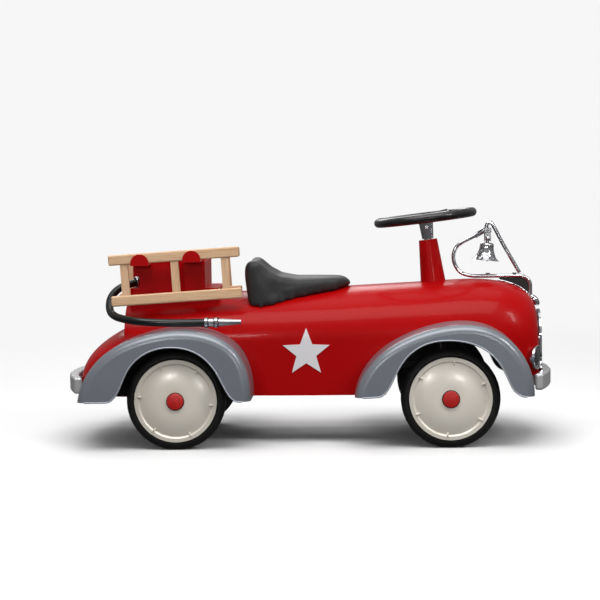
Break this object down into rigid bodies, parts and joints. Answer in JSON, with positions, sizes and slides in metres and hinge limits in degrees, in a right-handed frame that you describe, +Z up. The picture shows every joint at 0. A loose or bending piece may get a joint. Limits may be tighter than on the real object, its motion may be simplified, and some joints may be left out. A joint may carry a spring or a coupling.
{
  "type": "ride-on toy fire engine",
  "caption": "Ride-on toy fire engine with steered front wheels, padded seat, open equipment box, swinging bell, hose with nozzle and lift-off wooden ladders.",
  "frame": {"origin": "on the floor, under the middle of the box from bumper to bumper", "axes": "+X forward, from rear bumper to front bumper; +Y to the driver's left; +Z up"},
  "size_m": [0.76, 0.375, 0.3597],
  "materials": {
    "red_paint": "deep red gloss enamel",
    "grey_paint": "blue-grey satin-gloss enamel",
    "frame_paint": "black semi-gloss paint",
    "bumper_paint": "silver-grey paint",
    "cream_paint": "cream gloss enamel",
    "chrome": "bright chrome plate",
    "axle_steel": "zinc-plated steel",
    "tyre_rubber": "solid black rubber",
    "core_plastic": "black moulded plastic",
    "cap_plastic": "red moulded plastic",
    "bush_plastic": "natural nylon",
    "seat_vinyl": "dark grey grained vinyl",
    "wheel_plastic": "black gloss plastic",
    "ladder_wood": "pale clear-finished beech",
    "hose_rubber": "black rubber hose",
    "lamp_glass": "clear lamp glass"
  },
  "bodies": {
    "chassis": {"bell_bracket": "chrome", "bell_gusset": "frame_paint", "bell_pin": "axle_steel", "bell_post": "chrome", "bell_yoke": "chrome", "body_shell": "red_paint", "box_plinth": "red_paint", "bracket_screws": "chrome", "bumper_brackets": "frame_paint", "bumper_front": "bumper_paint", "bumper_rear": "bumper_paint", "cross_members": "frame_paint", "equipment_box": "red_paint", "fender_front_left": "grey_paint", "fender_front_right": "grey_paint", "fender_rear_left": "grey_paint", "fender_rear_right": "grey_paint", "grille_bars": "chrome", "grille_frame": "chrome", "headlight_lenses": "lamp_glass", "headlight_rims": "chrome", "headlight_shells": "frame_paint", "hood_ornament": "chrome", "hose": "hose_rubber", "hose_fitting": "hose_rubber", "ladder_hooks": "red_paint", "nozzle_ferrule": "chrome", "nozzle_tip": "chrome", "rear_axle": "axle_steel", "seat": "seat_vinyl", "steering_bushes": "bush_plastic", "steering_tower": "red_paint", "underframe": "frame_paint"},
    "wheel_front_left": {"wheel_front_left_tyre": "tyre_rubber", "wheel_front_left_core": "core_plastic", "wheel_front_left_cover": "cream_paint", "wheel_front_left_cap": "cap_plastic"},
    "wheel_front_right": {"wheel_front_right_tyre": "tyre_rubber", "wheel_front_right_core": "core_plastic", "wheel_front_right_cover": "cream_paint", "wheel_front_right_cap": "cap_plastic"},
    "wheel_rear_left": {"wheel_rear_left_tyre": "tyre_rubber", "wheel_rear_left_core": "core_plastic", "wheel_rear_left_cover": "cream_paint", "wheel_rear_left_cap": "cap_plastic"},
    "wheel_rear_right": {"wheel_rear_right_tyre": "tyre_rubber", "wheel_rear_right_core": "core_plastic", "wheel_rear_right_cover": "cream_paint", "wheel_rear_right_cap": "cap_plastic"},
    "steering": {"steering_wheel": "wheel_plastic", "steering_boss": "chrome", "steering_shaft": "axle_steel", "front_axle_beam": "frame_paint", "front_axle": "axle_steel"},
    "bell": {"bell": "chrome"},
    "clapper": {"bell_clapper": "axle_steel"},
    "ladder_left": {"ladder_left_rails": "ladder_wood", "ladder_left_rungs": "ladder_wood"},
    "ladder_right": {"ladder_right_rails": "ladder_wood", "ladder_right_rungs": "ladder_wood"}
  },
  "joints": [
    {"name": "steering_turn", "type": "hinge", "parent": "chassis", "child": "steering", "pos_m": [0.2165, 0, 0.075], "axis": [-0.1132, 0, 0.9936], "range_deg": [-15, 15]},
    {"name": "wheel_front_left_spin", "type": "hinge", "parent": "steering", "child": "wheel_front_left", "pos_m": [0.2165, 0.148, 0.075], "axis": [0, 1, 0], "continuous": true},
    {"name": "wheel_front_right_spin", "type": "hinge", "parent": "steering", "child": "wheel_front_right", "pos_m": [0.2165, -0.148, 0.075], "axis": [0, 1, 0], "continuous": true},
    {"name": "wheel_rear_left_spin", "type": "hinge", "parent": "chassis", "child": "wheel_rear_left", "pos_m": [-0.1985, 0.148, 0.075], "axis": [0, 1, 0], "continuous": true},
    {"name": "wheel_rear_right_spin", "type": "hinge", "parent": "chassis", "child": "wheel_rear_right", "pos_m": [-0.1985, -0.148, 0.075], "axis": [0, 1, 0], "continuous": true},
    {"name": "bell_swing", "type": "hinge", "parent": "chassis", "child": "bell", "pos_m": [0.284, 0, 0.31], "axis": [0, 1, 0], "range_deg": [-15, 15]},
    {"name": "clapper_swing", "type": "hinge", "parent": "bell", "child": "clapper", "pos_m": [0.28269, 0, 0.29757], "axis": [0, 1, 0], "range_deg": [-22, 22]},
    {"name": "ladder_left_lift", "type": "slide", "parent": "chassis", "child": "ladder_left", "axis": [0, 0, 1], "range_m": [0, 0.035]},
    {"name": "ladder_right_lift", "type": "slide", "parent": "chassis", "child": "ladder_right", "axis": [0, 0, 1], "range_m": [0, 0.035]}
  ]
}
